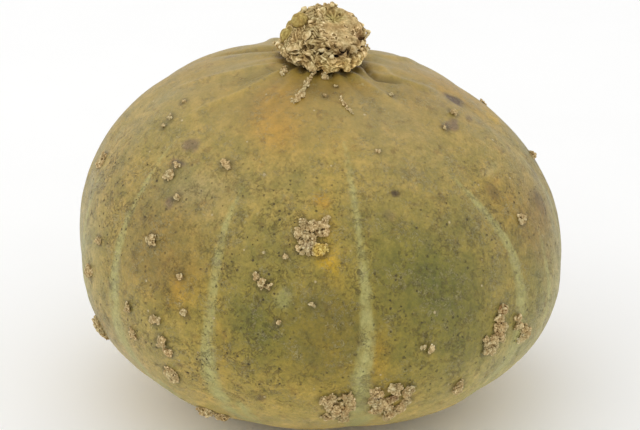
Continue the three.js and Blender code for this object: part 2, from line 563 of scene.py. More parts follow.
def add_painted_lip_shadow(colour, points):
    """Painted shadow under the stem's lip: the skin darkened round the stem's foot."""
    from_stem = np.hypot(points[:, 0] - STEM_FOOT[0], points[:, 1] - STEM_FOOT[1])
    from_stem += 0.9 * noise(points, 5, 47)
    # painted shadow, strongest close to the stem's foot
    lip_shadow = 0.75 * smoothstep(17.5, 14.0, from_stem) * (points[:, 2] > EQUATOR_HEIGHT)
    return blend_colour(colour, LIP_SHADOW_TINT, lip_shadow)


def skin_colour(az, lat, points):
    colour = np.repeat(KHAKI[None], len(az), 0)
    colour = add_patches(colour, az, lat, points)
    colour = add_broad_tints_and_painted_bounce(colour, az, lat)
    colour = add_scars(colour, az, lat, points)
    colour = add_crown_line_highlights_and_shade(colour, points)
    colour = add_painted_wart_rim_shade(colour, points)
    colour = add_blossom_end(colour, lat, points)
    return add_painted_lip_shadow(colour, points)


def stripe_field(points):
    """Distance inside the nearest pale stripe's edge, in millimetres: below 0 outside it."""
    field = np.full(len(points), -9.0)
    for path, start, end in STRIPES + STRIPES_BELOW:
        distance, along = distance_to(points, path)
        half = start + (end - start) * smoothstep(0.15, 0.75, along)
        taper = smoothstep(0, 0.12, along) * smoothstep(1.0, 0.9, along)
        field = np.maximum(field, half * taper - distance)
    return field


# Scurfy places: azimuth, latitude, half width, half height in degrees
SCURF = (
    (-37, 36, 9, 8),
    (-46, 39, 6, 6),
    (-24, 31, 5, 7),
    (18, 31, 12, 8),
    (31, 45, 6, 3),
    (31, 45, 5, 2.5),
    (-8, 13, 5, 8),
    (-63, 50, 5, 5),
    (150, 30, 12, 10),
    (210, 10, 14, 12),
)


def scurf_field(az, lat):
    """How scurfy the rind is: 0.3 on clean rind, and more in the scurfy places."""
    return 0.3 + 0.8 * sum(patch_weight(az, lat, *patch) for patch in SCURF)


def skin_faces():
    """Quads between the rings of the skin's grid, and fans of triangles at its two ends."""
    columns = np.arange(SKIN_COLUMNS)
    following = (columns + 1) % SKIN_COLUMNS
    faces = []
    for row in range(SKIN_ROWS - 2):
        low = 1 + row * SKIN_COLUMNS
        high = low + SKIN_COLUMNS
        quads = np.stack([low + columns, low + following, high + following, high + columns], 1)
        faces += quads.tolist()
    last = 1 + (SKIN_ROWS - 2) * SKIN_COLUMNS
    top = last + SKIN_COLUMNS
    faces += [[0, 1 + b, 1 + a] for a, b in zip(columns.tolist(), following.tolist())]
    faces += [[last + a, last + b, top] for a, b in zip(columns.tolist(), following.tolist())]
    return faces


def map_for_baking(mesh, az, lat):
    """Flattens the skin by azimuth and latitude. Faces that cross the seam stay on one side of it."""
    corners = np.empty(len(mesh.loops), np.int32)
    mesh.loops.foreach_get("vertex_index", corners)
    u = az[corners] / (2 * np.pi)
    v = lat[corners] / np.pi + 0.5
    size = np.empty(len(mesh.polygons), np.int32)
    mesh.polygons.foreach_get("loop_total", size)
    face = np.repeat(np.arange(len(mesh.polygons)), size)
    widest = np.zeros(len(mesh.polygons))
    np.maximum.at(widest, face, u)
    u = np.where((widest[face] > 0.6) & (u < 0.4), u + 1, u)
    uv = np.stack([0.002 + 0.996 * np.minimum(u, 1), 0.002 + 0.996 * v], 1)
    mesh.uv_layers.new(name="OFBake").uv.foreach_set("vector", uv.astype(np.float32).ravel())


def make_skin():
    az, lat = np.meshgrid(
        np.arange(SKIN_COLUMNS) * 2 * np.pi / SKIN_COLUMNS,
        np.linspace(-np.pi / 2, np.pi / 2, SKIN_ROWS + 1)[1:-1],
    )
    az = np.r_[0, az.ravel(), 0]
    lat = np.r_[-np.pi / 2, lat.ravel(), np.pi / 2]
    plain = surface(az, lat, 0)
    points = surface(az, lat, detail_relief(az, lat)) - CENTRE
    skin = make_object("skin", points, skin_faces())
    mesh = skin.data
    give_colour(mesh, "tint", skin_colour(az, lat, plain))
    give_number(mesh, "stripe", stripe_field(plain))
    # specks and mottling are strongest round the widest ring and fade towards the two ends
    around = smoothstep(math.radians(50), math.radians(20), np.abs(lat - math.radians(10)))
    give_number(mesh, "speckle", around * (0.85 + 0.7 * layered(plain, 22, 71, 3)))
    give_number(mesh, "scurf", scurf_field(az, lat))
    broken = smoothstep(math.radians(62), math.radians(26), np.abs(lat - math.radians(8)))
    give_number(mesh, "mottle", 0.5 + 0.5 * broken)
    map_for_baking(mesh, az, lat)
    return skin


# ---------------------------------------------------------------- cork: rough crumbs grown together
def unit_ball():
    """Points and faces of a ball of radius 1, made of 320 triangles."""
    ball = bmesh.new()
    bmesh.ops.create_icosphere(ball, subdivisions=2, radius=1)
    ball.verts.ensure_lookup_table()
    points = np.array([v.co for v in ball.verts])
    faces = np.array([[v.index for v in f.verts] for f in ball.faces])
    ball.free()
    return points, faces


BALL_POINTS, BALL_FACES = unit_ball()


class Crumbs:
    """Angular crumbs of cork, gathered up to be melted into one crust."""

    def __init__(self, seed):
        self.random = np.random.default_rng(seed)
        self.points = []

    def add(self, centre, axes, radii, cuts=9):
        """One crumb: a ball with flat cuts, stretched to radii along the three axes."""
        shape = BALL_POINTS.copy()
        for _ in range(cuts):
            facing = self.random.normal(size=3)
            facing /= np.linalg.norm(facing)
            over = np.maximum(shape @ facing - self.random.uniform(0.55, 0.92), 0)
            shape = shape - over[:, None] * facing
        self.points.append(centre + (shape * radii) @ axes)

    def turned(self, axes, most):
        """Axes tipped and turned at random by up to so many radians."""
        spin = self.random.uniform(-most, most, 3)
        return np.array(Euler(spin).to_matrix()) @ axes

    def melt(self, name, grain, core=None):
        """The crumbs as one mesh with no inner faces, whose facets are about grain millimetres across.
        core is the points and faces of one more closed form to melt them onto."""
        points = np.concatenate(self.points)
        steps = np.arange(len(self.points))[:, None, None] * len(BALL_POINTS)
        faces = (BALL_FACES[None] + steps).reshape(-1, 3)
        if core is not None:
            faces = np.concatenate([faces, core[1] + len(points)])
            points = np.concatenate([points, core[0]])
        crust = make_object(name, points, faces.tolist())
        remesh = crust.modifiers.new("melt", "REMESH")
        remesh.mode = "VOXEL"
        remesh.voxel_size = grain * MM
        remesh.use_smooth_shade = True
        bpy.context.view_layer.update()
        evaluated = crust.evaluated_get(bpy.context.evaluated_depsgraph_get())
        melted = bpy.data.meshes.new_from_object(evaluated)
        crust.modifiers.clear()
        old = crust.data
        crust.data = melted
        bpy.data.meshes.remove(old)
        melted.name = name
        return crust


def weather(crust, coarse, fine, seed):
    """Roughens a crust's surface with cracks and grain."""
    mesh = crust.data
    points = mesh_points(mesh)
    normals = mesh_normals(mesh)
    warped = points + 0.7 * np.stack([noise(points, 1.8, seed + k) for k in (1, 2, 3)], 1)
    height = coarse * (creased(warped, 1.4, seed + 11, 3) - 0.35) * 2
    height += fine * layered(points, 0.8, seed + 5, 2)
    move_points(mesh, points + normals * height[:, None])


def mark_cork_for_hollow_shade(crust, reach=14):
    """Stores how hollow the crust is at a small and a larger scale, for its colour, which is darker in the
    hollows: partly the cork's own darker crevices, partly painted shade.
    """
    give_number(crust.data, "crack", hollowness(crust.data, 3))
    give_number(crust.data, "hollow", hollowness(crust.data, reach))


# Knobs of the large warts: azimuth, latitude, width, height, rise in millimetres, turn in degrees
LARGE_WARTS = (
    # upper front
    (-5.2, 30, 2.6, 3.6, 1.9, 20),
    (-4.2, 33, 2.6, 2.0, 1.5, 0),
    (-1.8, 32, 3.6, 3.8, 2.0, -30),
    (0.6, 31.6, 3.9, 4.4, 2.1, 15),
    (1.6, 34, 2.2, 1.6, 1.2, 40),
    (-1.8, 29, 2.4, 2.2, 1.6, 0),
    (-3, 27, 3.3, 3.4, 1.7, 10),
    (-5.2, 26, 1.2, 2.4, 0.9, 25),
    (-2.6, 25, 1.4, 1.2, 0.6, 0),
    (0.2, 26, 4.9, 3.6, 2.2, 30),
    # lower front
    (1, -19, 2.8, 3.6, 1.9, 25),
    (2.6, -18, 2.4, 4.6, 2.1, -10),
    (3.8, -24, 3.6, 8.2, 2.3, -8),
    (6, -18, 2.6, 4.4, 1.7, 20),
    (7, -20, 3.6, 9.5, 2.0, 6),
    (5.8, -26, 3.0, 6.2, 1.8, 12),
    (1.8, -29, 4.4, 3.2, 1.2, -20),
    (6, -32, 3.4, 4.2, 1.3, 5),
    (2, -22.5, 2.1, 3.4, 1.3, 0),
    # lower front, to the right
    (13, -16, 4.3, 4.2, 1.5, -15),
    (12, -20, 1.8, 4.3, 1.3, 0),
    (15, -21, 4.0, 3.2, 1.9, -20),
    (17, -14, 4.2, 3.4, 2.0, 10),
    (20, -15.5, 3.2, 4.4, 2.1, -10),
    (20.4, -21, 2.8, 4.6, 1.6, 10),
    (19.6, -25, 2.8, 4.8, 1.7, 0),
    (14, -26, 3.8, 4.6, 1.3, -25),
    (17.4, -30, 3.8, 7.6, 1.5, 0),
    (16.4, -24.5, 2.4, 4.0, 1.4, 0),
    (16.8, -19, 3.0, 4.2, 1.3, -30),
    (18.2, -27, 2.8, 3.4, 1.5, 10),
    (13.4, -22.5, 2.6, 3.2, 1.4, 0),
    # right
    (45, 4.6, 4.0, 2.8, 2.0, 0),
    (43.6, 2.6, 3.8, 2.8, 1.7, 10),
    (45, 0, 2.6, 4.0, 1.9, 15),
    (43.2, -0.4, 3.0, 4.6, 1.8, 15),
    (44, -3, 3.0, 4.0, 1.9, 20),
    (42, -4, 3.2, 4.6, 1.7, 20),
    (41.6, -7, 3.0, 3.6, 1.5, 25),
    (39.6, -3.4, 2.2, 3.4, 1.0, 15),
    (39.8, -6.4, 2.8, 3.0, 1.2, 0),
    # far right
    (51, -0.2, 2.8, 1.9, 1.5, 0),
    (51.4, -3.2, 3.6, 2.4, 1.7, -10),
    (53.8, -4.6, 2.8, 1.8, 1.2, 20),
    (55, -8, 4.0, 4.4, 1.7, -15),
    (53, -9.4, 2.4, 2.0, 1.1, 0),
    # left edge, low
    (-69, -19, 4.0, 7.0, 2.2, 10),
    (-71, -23, 3.0, 5.0, 1.8, 0),
    (-35, -40, 6.0, 5.0, 2.4, 0),
    (-31, -43, 4.0, 4.0, 2.0, 20),
    # back
    (132, 12, 4.5, 5.0, 2.2, 15),
    (135, 8, 4.0, 5.5, 1.9, -10),
    (129, 7, 3.0, 4.0, 1.6, 0),
    (168, -20, 4.2, 8.0, 2.2, 8),
    (172, -17, 3.6, 6.0, 2.0, -12),
    (170, -27, 3.4, 4.6, 1.6, 0),
    (203, 28, 4.6, 4.2, 2.1, 10),
    (207, 25, 3.8, 3.4, 1.7, 40),
    (238, -6, 3.6, 8.0, 2.0, -18),
    (241, -11, 3.0, 5.0, 1.6, 0),
)

# Small warts: azimuth, latitude, width and height over all, rise
SMALL_WARTS = (
    (-14.5, 18, 2.2, 2.0, 1.0),
    (-13, 16.2, 2.6, 3.2, 1.3),
    (-11.4, 16, 1.4, 1.8, 0.8),
    (-8, 24, 1.3, 1.6, 0.8),
    (-43, 20, 4.2, 3.4, 1.2),
    (-40, 32.4, 3.2, 1.8, 1.0),
    (-46, 37, 3.6, 3.2, 1.1),
    (-45.5, 40, 2.4, 1.8, 0.6),
    (-30, 44.5, 4.6, 2.2, 0.9),
    (-63, 49.5, 2.4, 1.4, 0.5),
    (-62, 47, 1.8, 1.0, 0.4),
    (-65.8, 54.8, 2.0, 1.2, 0.4),
    (-80, 28, 5.5, 6.0, 0.8),
    (-66, 2, 4.6, 4.6, 1.2),
    (-48, 0, 3.0, 3.4, 0.9),
    (-39, 0.4, 4.4, 3.0, 1.0),
    (-47, -8, 3.6, 4.0, 0.5),
    (-37.5, -6, 3.6, 5.0, 0.8),
    (-36, -9, 3.4, 3.4, 0.6),
    (-37, -19, 6.0, 7.0, 0.7),
    (33.6, -19, 2.6, 7.5, 1.3),
    (35, -22, 1.6, 3.6, 0.7),
    (24.2, -0.6, 2.0, 2.8, 1.0),
    (22.6, 0.4, 2.0, 1.2, 0.6),
    (-9, 7, 1.2, 1.8, 0.6),
    (-33, 13.6, 2.0, 1.6, 0.9),
    (-62, 12.4, 2.6, 2.6, 0.9),
    (-31.4, 4.6, 1.8, 1.6, 0.6),
    (60, 25, 4.8, 3.0, 0.8),
    (57, 54.8, 2.6, 0.9, 0.5),
    (69.8, 56.5, 3.4, 2.2, 0.9),
    (3.6, 70.4, 1.7, 1.1, 0.8),
    (13, 74.8, 1.1, 0.7, 0.5),
    (49, 68.6, 1.6, 0.8, 0.5),
    (21.5, 52.5, 1.2, 0.9, 0.4),
    (-1.6, 12.4, 2.2, 1.2, 0.4),
    (96, 30, 3.6, 3.2, 1.0),
    (108, -8, 4.2, 4.6, 1.1),
    (112, 44, 3.4, 2.2, 0.8),
    (146, 34, 3.2, 2.6, 0.9),
    (156, 2, 3.6, 3.6, 1.0),
    (181, 10, 3.4, 4.2, 1.1),
    (190, -12, 4.4, 3.4, 0.9),
    (196, 46, 3.2, 2.0, 0.7),
    (214, -22, 4.6, 6.0, 1.1),
    (224, 12, 3.0, 3.0, 0.9),
    (232, 38, 3.8, 2.2, 0.8),
    (256, 14, 3.2, 4.2, 1.0),
    (262, -16, 4.0, 4.4, 1.0),
)

# Trails of cork that run down from under the stem: path, half width, rise
TRAILS = (
    (((-9.4, 80), (-10.4, 76), (-11.4, 72.6), (-12, 70)), 0.95, 1.5),
    (((-12, 70), (-12.6, 68.6), (-13.4, 67)), 1.25, 1.3),
    (((4, 79), (4.6, 77)), 1.1, 1.2),
    (((13.4, 70.4), (14.4, 67.6), (16.6, 64.4)), 0.75, 0.8),
    (((-48, 79.4), (-40, 78), (-37, 77.4)), 0.8, 1.4),
    (((-42, 79), (-41, 76.6), (-36, 76.2)), 0.6, 1.1),
    (((140, 79), (143, 74), (146, 69)), 0.9, 1.2),
    (((222, 79), (219, 73)), 1.0, 1.2),
)


def grow_knob(crumbs, az, lat, width, height, rise, turn):
    """A knob of the wart: one core with smaller crumbs all over it."""
    centre, axes = spot_on_skin(az, lat)
    lean = math.radians(turn)
    side = axes[0] * math.cos(lean) + axes[1] * math.sin(lean)
    up = axes[1] * math.cos(lean) - axes[0] * math.sin(lean)
    axes = np.array([side, up, axes[2]])
    radii = np.array([width * 0.62, height * 0.62, rise * 0.8])
    crumbs.add(centre + axes[2] * rise * 0.1, crumbs.turned(axes, 0.15), radii)
    count = int(7 + width * height * 1.3)
    for _ in range(count):
        angle = crumbs.random.uniform(0, 2 * np.pi)
        reach = crumbs.random.uniform(0.2, 1.1)
        high = math.sqrt(max(1.2 - reach**2, 0)) * rise * 0.75
        spread = np.array([math.cos(angle) * reach * width / 2, math.sin(angle) * reach * height / 2])
        place = centre + axes[0] * spread[0] + axes[1] * spread[1] + axes[2] * high
        size = crumbs.random.uniform(0.3, 0.85) * min(1.0, 0.5 + 0.2 * min(width, height))
        long = crumbs.random.uniform(1.0, 1.9)
        radii = np.array([size, size * long, size * crumbs.random.uniform(0.5, 0.9)])
        crumbs.add(place, crumbs.turned(axes, 0.7), radii, 7)


# Knobs of another colour: azimuth, latitude, radius in millimetres, tint
WART_TONES = (
    (0.2, 26, 2.8, (1.08, 1.02, 0.50)),
    (-3, 27, 1.7, (0.86, 0.80, 0.98)),
    (13, -17.5, 1.6, (0.62, 0.52, 0.74)),
    (17, -18, 1.8, (0.55, 0.46, 0.44)),
    (45, 4.6, 2.0, (0.98, 0.74, 0.62)),
    (-9, 24, 1.0, (0.7, 0.6, 0.5)),
    (43, -2, 2.4, (1.1, 1.1, 1.14)),
    (19, -15, 2.4, (1.08, 1.06, 1.06)),
    (6, -20, 3.0, (0.94, 0.95, 0.90)),
)


# Size of the facets of the warts' and the stem's crust
WART_GRAIN = 0.17
STEM_GRAIN = 0.22
# Knobs closer than this are joined by a low crust
JOIN_REACH = 5.5


def join_knobs(crumbs, one, other):
    """Low crust half way between two knobs."""
    centre, axes = spot_on_skin((one[0] + other[0]) / 2, (one[1] + other[1]) / 2)
    for _ in range(3):
        size = crumbs.random.uniform(0.5, 1.0)
        place = centre + axes[0] * crumbs.random.normal(0, 0.7) + axes[1] * crumbs.random.normal(0, 0.7)
        crumbs.add(place + axes[2] * 0.3, crumbs.turned(axes, 0.6), size * np.array([1.2, 1, 0.9]))


def grow_trail(crumbs, path, half_width, rise):
    random = crumbs.random
    path = np.array(path, float)
    for step in np.linspace(0, len(path) - 1, 11 * len(path)):
        az = np.interp(step, range(len(path)), path[:, 0])
        lat = np.interp(step, range(len(path)), path[:, 1])
        centre, axes = spot_on_skin(az, lat)
        radii = np.array([half_width * 0.7, half_width * 1.2, rise * 0.6])
        place = centre + axes[2] * rise * random.uniform(0.1, 0.45)
        place = place + axes[0] * random.normal(0, 0.4 * half_width)
        crumbs.add(place, crumbs.turned(axes, 0.5), radii * random.uniform(0.45, 1.0, 3), 12)


def wart_tone(points):
    tone = np.ones((len(points), 3))
    for az, lat, reach, tint in WART_TONES:
        away = np.linalg.norm(points - skin_at(az, lat)[0], axis=1)
        tone *= 1 - smoothstep(reach + 0.5, reach - 0.5, away)[:, None] * (1 - np.array(tint))
    return tone


def make_warts():
    crumbs = Crumbs(11)
    middles = [spot_on_skin(az, lat)[0] for az, lat, *_ in LARGE_WARTS]
    for i, knob in enumerate(LARGE_WARTS):
        grow_knob(crumbs, *knob)
        for j in range(i):
            if np.linalg.norm(middles[i] - middles[j]) < JOIN_REACH:
                join_knobs(crumbs, knob, LARGE_WARTS[j])
    for az, lat, width, height, rise in SMALL_WARTS:
        grow_knob(crumbs, az, lat, width * 0.9, height * 0.9, rise * 1.15, crumbs.random.uniform(-40, 40))
    for trail in TRAILS:
        grow_trail(crumbs, *trail)
    warts = crumbs.melt("corky_warts", WART_GRAIN)
    weather(warts, 0.42, 0.16, 301)
    mark_cork_for_hollow_shade(warts, 10)
    give_colour(warts.data, "tone", wart_tone(mesh_points(warts.data)))
    return warts


# ---------------------------------------------------------------- the stem
STEM_GAP = 0.3
LEFT_SKIRT = 3.0  # how much wider the foot is on its left
LEFT_SKIRT_DEG = -80
# Radius and height from the seat to the rim of the cut face
STEM_PROFILE = (
    (10, 0),
    (10.6, 1.4),
    (13.8, 2.8),
    (14.4, 5.2),
    (14.2, 7.8),
    (13.2, 9.9),
    (11.5, 11.8),
    (9.5, 13.2),
)
STEM_FOOT = (0.9, -1)
STEM_BEND = (4.9, -0.9)
CUT_SLOPE = (-0.11, 0.45)


def stem_point(share, across, az, inset=0.0):
    """A point of the stem's plain form. share goes up the flank, from 0 to 1, then across goes from the
    rim of the cut face, at 0, to its middle, at 1."""
    profile = np.array(STEM_PROFILE)
    steps = np.linspace(0, 1, len(profile))
    leftward = 0.5 + 0.5 * np.cos(az - math.radians(LEFT_SKIRT_DEG))
    skirt = LEFT_SKIRT * np.clip(1 - share / 0.4, 0, 1) * leftward**1.5
    girth = np.interp(share, steps, profile[:, 0]) + skirt - inset
    height = np.interp(share, steps, profile[:, 1]) - inset * share
    risen = height / profile[-1, 1]
    radius = girth * (1 - across)
    dx, dy = radius * np.sin(az), -radius * np.cos(az)
    x = STEM_FOOT[0] + STEM_BEND[0] * risen**3 + dx
    y = STEM_FOOT[1] + STEM_BEND[1] * risen**3 + dy
    z = height + risen**2 * (CUT_SLOPE[0] * dx + CUT_SLOPE[1] * dy) - LEAN * x
    return np.stack([x, y, z + SEAT_HEIGHT + STEM_GAP], -1) - CENTRE


def stem_spot(share, across, az):
    """A place on the stem's plain form and its directions round it, up it and outwards."""
    step = 0.02
    here = stem_point(share, across, az)
    around = stem_point(share, across, az + 0.05) - stem_point(share, across, az - 0.05)
    if across > 0:
        up = stem_point(1, min(across + step, 1), az) - stem_point(1, max(across - step, 0), az)
    else:
        up = stem_point(min(share + step, 1), 0, az) - stem_point(max(share - step, 0), 0, az)
    out = np.cross(around, up)
    out /= np.linalg.norm(out)
    around = around / np.linalg.norm(around)
    return here, np.array([around, np.cross(out, around), out])


def stem_core(inset):
    """The stem's plain form as one closed mesh: its points and faces."""
    sides = 64
    turn = np.arange(sides) * 2 * np.pi / sides
    rings = [(share, 0.0) for share in np.linspace(0, 1, 24)]
    rings += [(1.0, across) for across in (0.2, 0.4, 0.6, 0.8)]
    points = [stem_point(share, across, turn, inset) for share, across in rings]
    foot = points[0].mean(0)
    top = stem_point(1.0, 1.0, np.zeros(1), inset)[0]
    points = np.concatenate([*points, [foot], [top]])
    faces = []
    following = (np.arange(sides) + 1) % sides
    for ring in range(len(rings) - 1):
        low, high = ring * sides, (ring + 1) * sides
        for a, b in zip(range(sides), following.tolist()):
            faces += [[low + a, low + b, high + b], [low + a, high + b, high + a]]
    last = (len(rings) - 1) * sides
    for a, b in zip(range(sides), following.tolist()):
        faces += [[len(points) - 2, b, a], [last + a, last + b, len(points) - 1]]
    return points, np.array(faces)


# Places on the stem, in millimetres: to the right, to the back and up from the seat
CUT_MIDDLE = (STEM_FOOT[0] + STEM_BEND[0], STEM_FOOT[1] + STEM_BEND[1])
CUT_HOLLOW = (5.0, 2.6)
CUT_HOLLOW_RADIUS = 4.4
CUT_HOLLOW_DEPTH = 1.5
CREVICE = ((3.2, -13.8, 4.2), (5.6, -13.4, 5.4), (8.8, -12.0, 8.4))
NOTCH = ((13.2, -5.0, 6.0), (12.8, -4.4, 8.2), (13.4, -3.6, 10.0))
SPUR = ((13.2, -3.2, 7.4), (14.6, -2.8, 8.8), (15.6, -2.6, 10.0), (16.2, -2.4, 11.2))
CREVICE_DEPTH = 3.2
NOTCH_DEPTH = 2.8
# Heights of the bark's three kinds of relief: broad layers, crumpled ridges and fine fibres
SHINGLE_HEIGHT = 1.0
CRUMPLE_HEIGHT = 1.9
FIBRE_HEIGHT = 0.7
# Smooth green lobes: share up the flank, azimuth, depth of the centre, radii round, up and out
LOBES = (
    (0.86, -92, 0.0, (3.0, 3.0, 2.8)),
    (0.54, -89, 1.9, (3.2, 2.9, 3.0)),
    (0.56, -118, 2.0, (3.2, 3.0, 2.8)),
)
# Long flakes: share up the flank, azimuth, length, width, thickness, turn in degrees
LONG_FLAKES = (
    (0.93, -16, 3.9, 1.5, 0.9, 24),
    (0.84, -34, 3.4, 1.4, 0.9, 40),
    (0.74, -20, 3.6, 1.3, 0.8, 30),
    (0.66, -44, 3.4, 1.5, 0.9, 48),
    (0.90, -50, 2.8, 1.6, 1.1, 60),
    (0.56, -26, 3.2, 1.2, 0.8, 34),
    (0.46, -52, 3.4, 1.3, 0.8, 30),
    (0.62, -2, 2.8, 1.3, 0.9, 50),
    (0.84, 4, 2.6, 1.4, 0.9, 30),
    (0.40, -14, 2.6, 1.1, 0.8, 30),
    (0.20, -70, 3.8, 0.9, 0.7, 8),
    (0.30, -58, 3.6, 0.9, 0.7, 14),
    (0.14, -48, 3.6, 0.9, 0.7, 6),
    (0.26, -38, 3.0, 1.0, 0.7, 18),
    (0.12, -26, 2.8, 1.0, 0.7, 10),
    (0.56, 26, 2.6, 1.0, 0.8, 66),
    (0.44, 42, 2.8, 1.1, 0.8, 50),
    (0.70, 34, 2.4, 1.0, 0.7, 30),
    (0.60, 66, 2.8, 1.2, 0.8, 80),
)


def on_stem(place):
    x, y, up = place
    return np.array([x, y, SEAT_HEIGHT + up - LEAN * x]) - CENTRE


def near_stem_line(points, line, width):
    """1 on a line of places on the stem, fading to 0 a few widths away from it."""
    nearest = np.full(len(points), 99.0)
    line = [on_stem(place) for place in line]
    for start, end in zip(line[:-1], line[1:]):
        way = end - start
        part = np.clip((points - start) @ way / (way @ way), 0, 1)
        nearest = np.minimum(nearest, np.linalg.norm(points - start - part[:, None] * way, axis=1))
    return np.exp(-((nearest / width) ** 2))


def cut_face(points):
    """1 on the smooth part of the cut face, 0 on the bark."""
    x, y = points[:, 0] + CENTRE[0], points[:, 1] + CENTRE[1]
    dx, dy = x - CUT_MIDDLE[0], y - CUT_MIDDLE[1]
    plane = SEAT_HEIGHT + STEM_GAP + STEM_PROFILE[-1][1]
    plane = plane + CUT_SLOPE[0] * dx + CUT_SLOPE[1] * dy - LEAN * x
    wobble = 1.2 * noise(points, 3.0, 611)
    inside = smoothstep(10.2, 8.6, np.hypot(dx, dy) + wobble * 0.5)
    near_plane = smoothstep(-2.2, -1.0, points[:, 2] - plane)
    return inside * near_plane * smoothstep(-1.0, 1.5, x + wobble + 0.1 * dy)


def flake(crumbs, share, azimuth, depth, length, width, thickness, turn, tip, cuts=6):
    """A flake of bark, turned so far from level and with its lower edge tipped outwards."""
    here, axes = stem_spot(share, 0.0, math.radians(azimuth))
    along = axes[0] * math.cos(turn) + axes[1] * math.sin(turn)
    beside = np.cross(axes[2], along)
    raised = axes[2] * math.cos(tip) + beside * math.sin(tip)
    flat = np.cross(raised, along)
    radii = np.array([length, width, thickness])
    crumbs.add(here - axes[2] * depth, np.array([along, flat, raised]), radii, cuts)


def add_bark(crumbs):
    """Flakes of bark: the long ones of the front, others all round, and thin layers low on the left."""
    random = crumbs.random
    for share, azimuth, length, width, thickness, turn in LONG_FLAKES:
        tip = random.uniform(0.3, 0.6)
        flake(crumbs, share, azimuth, 0.3, 1.1 * length, width, thickness, math.radians(turn), tip, 5)
    for _ in range(60):
        azimuth = random.uniform(-65, 235)
        share = random.uniform(0.25, 0.95 if azimuth < 20 else 0.84)
        size = random.uniform(0.7, 1.5)
        length, width = size * random.uniform(1.3, 2.4), size * random.uniform(0.7, 1.1)
        turn, tip = random.normal(0.75, 0.4), random.normal(0.45, 0.2)
        flake(crumbs, share, azimuth, random.normal(0.6, 0.3), length, width, size * 0.6, turn, tip)
    for _ in range(44):
        share, azimuth = random.uniform(0.04, 0.42), random.uniform(-125, -25)
        length = random.uniform(2.2, 4.0)
        depth, turn = random.uniform(0.2, 0.8), random.normal(0.15, 0.12)
        flake(crumbs, share, azimuth, depth, length, 0.7, 0.5, turn, 0.3)


def add_lip(crumbs):
    """The chunky lip over the front of the fruit, in two levels that stand on a smooth ledge."""
    random = crumbs.random
    for azimuth in range(-20, 66, 8):
        for level in (0.24, 0.42):
            share = level + random.uniform(-0.03, 0.05)
            size = random.uniform(1.2, 2.0)
            here, axes = stem_spot(share, 0.0, math.radians(azimuth + random.uniform(-4, 4)))
            radii = np.array([size * random.uniform(0.9, 1.4), size * 0.85, size * 0.8])
            jut = 1.6 * math.exp(-(((azimuth - 14) / 34) ** 2)) * (1 if level < 0.4 else 0.4)
            place = here + axes[2] * (random.uniform(-0.5, 0.4) + jut)
            crumbs.add(place, crumbs.turned(axes, 0.7), radii, 14)
            crumbs.add(here + axes[2] * (jut - 1.3), axes, np.array([2.8, 1.6, 1.9]), 4)


def add_top(crumbs):
    """The crumbled ridge along the left of the cut face, and the spur on the right."""
    random = crumbs.random
    for _ in range(60):
        az = math.radians(random.uniform(-185, -20))
        across = random.uniform(0.0, 0.55) * max(0.15, -math.sin(az))
        here, axes = stem_spot(1.0, max(across, 0.01), az)
        size = random.uniform(0.5, 1.4)
        radii = np.array([size, size * random.uniform(1.0, 1.8), size * 0.6])
        crumbs.add(here - axes[2] * random.uniform(0.3, 1.1), crumbs.turned(axes, 0.6), radii, 7)
    for place in SPUR:
        radii = np.array([0.9, 0.8, 1.2]) * random.uniform(0.6, 1.0)
        crumbs.add(on_stem(place), crumbs.turned(np.eye(3), 0.6), radii)


def on_lobes(points):
    """1 on the smooth green lobes, 0 off them."""
    lobes = np.zeros(len(points))
    for share, azimuth, depth, radii in LOBES:
        here, axes = stem_spot(share, 0.0, math.radians(azimuth))
        away = np.linalg.norm(points - (here - axes[2] * depth), axis=1) / max(radii)
        lobes = np.maximum(lobes, smoothstep(1.12, 0.98, away))
    return lobes


def on_lip(points):
    """1 on the lip over the front of the fruit, 0 off it."""
    low = smoothstep(6.5, 3.5, points[:, 2] - (SEAT_HEIGHT - LEAN * (points[:, 0] + CENTRE[0])))
    return low * smoothstep(-4, 2, points[:, 0]) * (points[:, 1] < 0)


def bark_relief(points):
    """Folds of bark that lean over each other."""
    warp = np.stack([noise(points, 4.0, 621 + k) for k in (1, 2, 3)], 1)
    x, y, z = points.T
    slanted = np.stack([0.8 * x - 0.6 * z, y, 0.6 * x + 0.8 * z], 1)
    folds = slanted * (0.6, 1.0, 1.3) + 1.3 * warp
    step = (0.45 * x - 0.9 * z) / 3.6 + 1.5 * layered(points, 7.0, 633, 3)
    layer = step - np.floor(step)
    shingles = layer * smoothstep(1.0, 0.86, layer) * smoothstep(-0.35, 0.35, noise(points, 4.5, 637))
    crumples = 0.34 - creased(folds, 4.2, 631, 4)
    fibres = 0.34 - creased(folds * (0.5, 1, 1.2) + 0.4 * warp, 1.7, 643, 3)
    height = SHINGLE_HEIGHT * shingles + CRUMPLE_HEIGHT * crumples + FIBRE_HEIGHT * fibres
    return height + 0.08 * layered(points, 0.7, 641, 2)


def place_from_hollow(points):
    """Distance and direction from the middle of the cut face's hollow."""
    x = points[:, 0] + CENTRE[0] - CUT_HOLLOW[0]
    y = points[:, 1] + CENTRE[1] - CUT_HOLLOW[1]
    return np.hypot(x, y), np.arctan2(x, -y)


def face_relief(points):
    """The worn cut face: a hollow with rays round it, dents and pores."""
    from_hollow, direction = place_from_hollow(points)
    rays = np.sin(9 * direction + 1.6 * noise(points, 2.5, 651))
    rays = rays * smoothstep(0.5, 2.5, from_hollow) * fade_out(from_hollow, 6.0)
    pores = smoothstep(0.3, 0.55, layered(points, 2.2, 671, 3))
    height = 0.2 * rays - CUT_HOLLOW_DEPTH * fade_out(from_hollow, CUT_HOLLOW_RADIUS)
    return height + 0.3 * layered(points, 3.5, 661, 3) - 0.4 * pores


